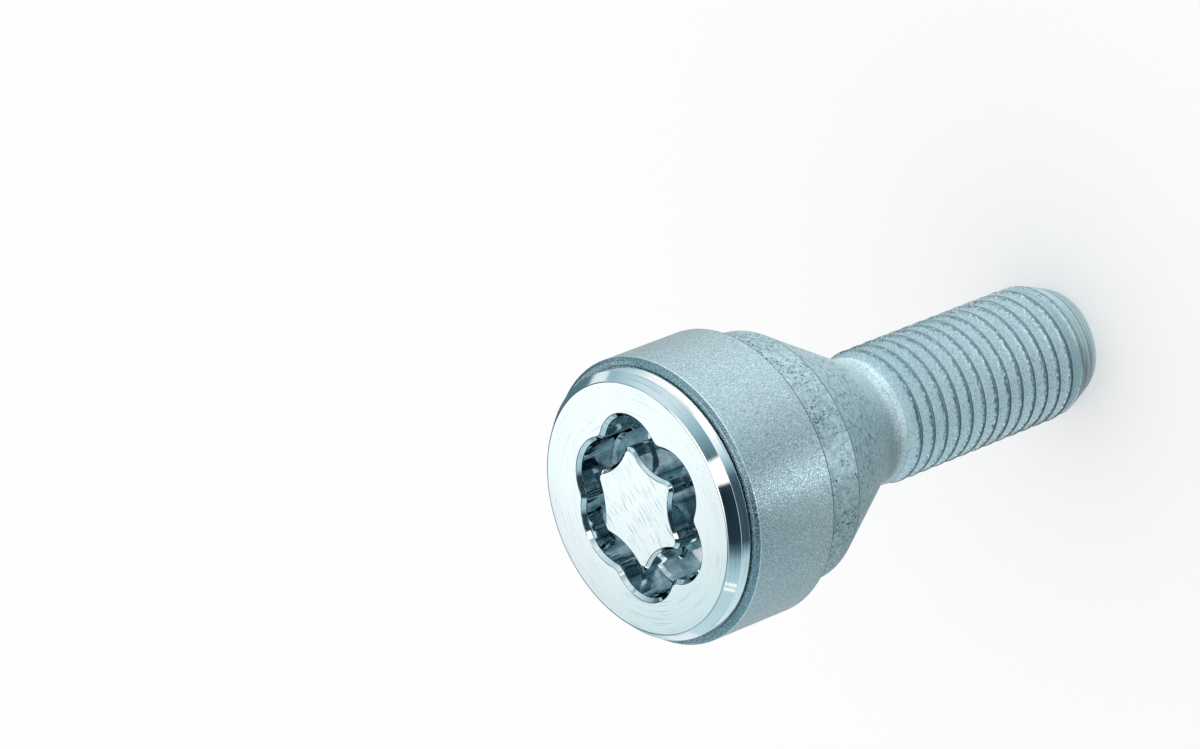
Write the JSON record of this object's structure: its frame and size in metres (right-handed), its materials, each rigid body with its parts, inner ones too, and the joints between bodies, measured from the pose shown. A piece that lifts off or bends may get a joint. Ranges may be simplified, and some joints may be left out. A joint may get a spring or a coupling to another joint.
{
  "type": "locking wheel bolt",
  "caption": "Locking wheel bolt with a lobed key groove in its face, a free-spinning collar on the head, a cone seat and a threaded shank.",
  "frame": {"origin": "centre of the thread's end face, at the bottom of the part", "axes": "+Z along the bolt's axis, from the thread end to the head's face"},
  "size_m": [0.0244, 0.0244, 0.0491],
  "materials": {
    "plated_steel": "bright machined head, matte zinc-flake cone and shank",
    "zinc_steel": "matte fine-grained zinc",
    "spring_steel": "dark spring steel"
  },
  "bodies": {
    "bolt": {"bolt": "plated_steel"},
    "collar": {"collar": "zinc_steel", "retaining_ring": "spring_steel"}
  },
  "joints": [
    {"name": "collar_spin", "type": "hinge", "parent": "bolt", "child": "collar", "pos_m": [0, 0, 0.0429], "axis": [0, 0, 1], "continuous": true}
  ]
}
